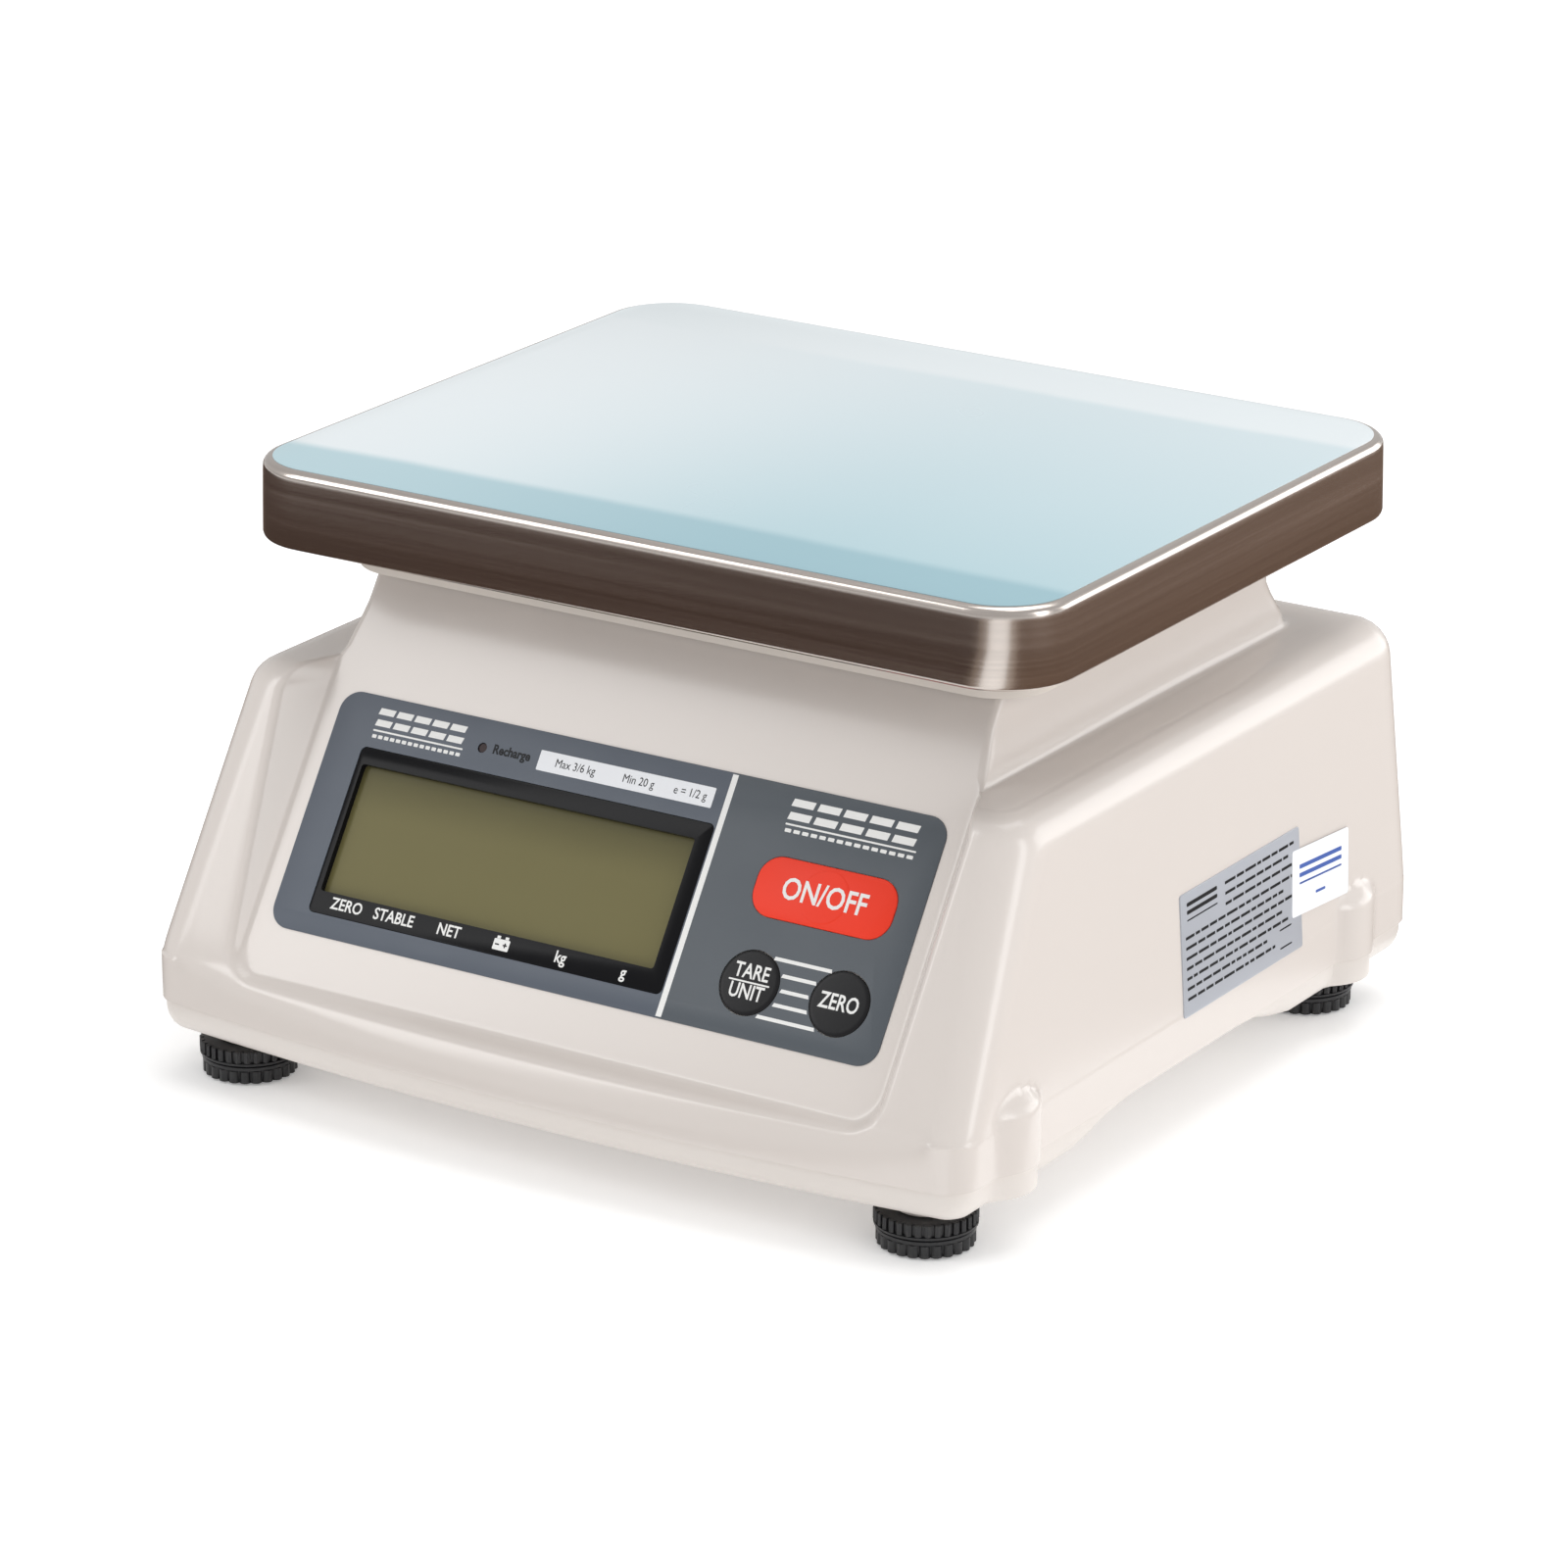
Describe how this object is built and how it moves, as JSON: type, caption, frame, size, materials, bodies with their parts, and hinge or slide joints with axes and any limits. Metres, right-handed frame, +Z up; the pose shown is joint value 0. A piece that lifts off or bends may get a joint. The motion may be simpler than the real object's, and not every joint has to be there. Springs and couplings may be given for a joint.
{
  "type": "bench weighing scale",
  "caption": "Portable bench weighing scale: flat stainless pan on a carrier over a necked plastic housing with a sloping display and keypad panel and screw feet.",
  "frame": {"origin": "on the table under the middle of the housing's bounding box", "axes": "+Z up, -Y towards the user (the side with the keypad panel), +X to the user's right"},
  "size_m": [0.245, 0.233, 0.1522],
  "materials": {
    "cover_plastic": "glossy off-white moulded ABS",
    "base_plastic": "off-white moulded ABS, slightly duller",
    "carrier_plastic": "beige moulded ABS",
    "stainless": "lengthwise brushed stainless sheet",
    "film": "thin blue protective film",
    "sheet": "slate grey printed polyester, fine matt grain",
    "window": "clear acrylic window",
    "mask": "black print",
    "black_plastic": "black moulded plastic",
    "lcd": "olive display glass",
    "backlight": "white light guide",
    "board": "green circuit board",
    "parts": "black electronic parts",
    "key_black": "black printed key",
    "key_red": "red printed key",
    "led": "dark lamp lens",
    "white_label": "white paper label",
    "grey_label": "silver grey foil label",
    "zinc_steel": "zinc plated steel",
    "aluminium": "machined aluminium",
    "brass": "turned brass",
    "gauge_cover": "white silicone over the gauges",
    "lead": "soft lead",
    "red_lead": "soft lead",
    "pad": "black rubber pad",
    "foot_plastic": "black knurled plastic",
    "battery_case": "dark grey battery case"
  },
  "bodies": {
    "housing": {"lower_cover": "base_plastic", "upper_cover": "cover_plastic", "housing_screws": "zinc_steel", "base_plate": "zinc_steel", "base_plate_screws": "zinc_steel", "foot_inserts": "brass", "lock_rings": "foot_plastic", "load_cell_stand": "zinc_steel", "stand_screws": "zinc_steel", "load_cell": "aluminium", "load_cell_bolts": "zinc_steel", "load_cell_gauge_cover": "gauge_cover", "overload_stop": "zinc_steel", "load_cell_lead": "lead", "carrier_spacer": "aluminium", "platter_carrier": "carrier_plastic", "carrier_screws": "zinc_steel", "carrier_pads": "pad", "keypad_sheet": "sheet", "display_window": "window", "window_mask": "mask", "lcd_frame": "black_plastic", "lcd_glass": "lcd", "lcd_backlight": "backlight", "keypad_board": "board", "key_switches": "parts", "charge_led": "led", "capacity_strip": "white_label", "main_board": "board", "main_board_parts": "parts", "board_screws": "zinc_steel", "battery": "battery_case", "battery_terminals": "brass", "battery_leads": "red_lead", "battery_cover": "base_plastic", "battery_cover_screw": "zinc_steel", "dc_inlet": "black_plastic", "dc_inlet_nut": "zinc_steel", "rating_plate": "grey_label", "seal_sticker": "white_label"},
    "pan": {"platter": "stainless", "protective_film": "film"},
    "on_off_key": {"key_on_off": "key_red"},
    "tare_key": {"key_tare": "key_black"},
    "zero_key": {"key_zero": "key_black"},
    "foot_fl_screw": {"foot_stud_fl": "zinc_steel"},
    "foot_fl_disc": {"foot_fl": "foot_plastic"},
    "foot_fr_screw": {"foot_stud_fr": "zinc_steel"},
    "foot_fr_disc": {"foot_fr": "foot_plastic"},
    "foot_bl_screw": {"foot_stud_bl": "zinc_steel"},
    "foot_bl_disc": {"foot_bl": "foot_plastic"},
    "foot_br_screw": {"foot_stud_br": "zinc_steel"},
    "foot_br_disc": {"foot_br": "foot_plastic"}
  },
  "joints": [
    {"name": "pan_lift_off", "type": "slide", "parent": "housing", "child": "pan", "axis": [0, 0, 1], "range_m": [0, 0.045]},
    {"name": "press_on_off", "type": "slide", "parent": "housing", "child": "on_off_key", "axis": [0, 0.832, -0.5548], "range_m": [0, 0.0003], "stiffness_N_per_m": 5000, "springref_m": -0.0002},
    {"name": "press_tare", "type": "slide", "parent": "housing", "child": "tare_key", "axis": [0, 0.832, -0.5548], "range_m": [0, 0.0003], "stiffness_N_per_m": 5000, "springref_m": -0.0002},
    {"name": "press_zero", "type": "slide", "parent": "housing", "child": "zero_key", "axis": [0, 0.832, -0.5548], "range_m": [0, 0.0003], "stiffness_N_per_m": 5000, "springref_m": -0.0002},
    {"name": "foot_fl_extend", "type": "slide", "parent": "housing", "child": "foot_fl_screw", "axis": [0, 0, -1], "range_m": [0, 0.00601]},
    {"name": "foot_fl_turn", "type": "hinge", "parent": "foot_fl_screw", "child": "foot_fl_disc", "pos_m": [-0.0994, -0.0933, 0], "axis": [0, 0, -1], "range_deg": [0, 1728]},
    {"name": "foot_fr_extend", "type": "slide", "parent": "housing", "child": "foot_fr_screw", "axis": [0, 0, -1], "range_m": [0, 0.00601]},
    {"name": "foot_fr_turn", "type": "hinge", "parent": "foot_fr_screw", "child": "foot_fr_disc", "pos_m": [0.0994, -0.0933, 0], "axis": [0, 0, -1], "range_deg": [0, 1728]},
    {"name": "foot_bl_extend", "type": "slide", "parent": "housing", "child": "foot_bl_screw", "axis": [0, 0, -1], "range_m": [0, 0.00601]},
    {"name": "foot_bl_turn", "type": "hinge", "parent": "foot_bl_screw", "child": "foot_bl_disc", "pos_m": [-0.0994, 0.0933, 0], "axis": [0, 0, -1], "range_deg": [0, 1728]},
    {"name": "foot_br_extend", "type": "slide", "parent": "housing", "child": "foot_br_screw", "axis": [0, 0, -1], "range_m": [0, 0.00601]},
    {"name": "foot_br_turn", "type": "hinge", "parent": "foot_br_screw", "child": "foot_br_disc", "pos_m": [0.0994, 0.0933, 0], "axis": [0, 0, -1], "range_deg": [0, 1728]}
  ],
  "couplings": [
    {"joint": "foot_fl_extend", "follows": "foot_fl_turn", "m_per_rad": 0.00019894},
    {"joint": "foot_fr_extend", "follows": "foot_fr_turn", "m_per_rad": 0.00019894},
    {"joint": "foot_bl_extend", "follows": "foot_bl_turn", "m_per_rad": 0.00019894},
    {"joint": "foot_br_extend", "follows": "foot_br_turn", "m_per_rad": 0.00019894}
  ]
}
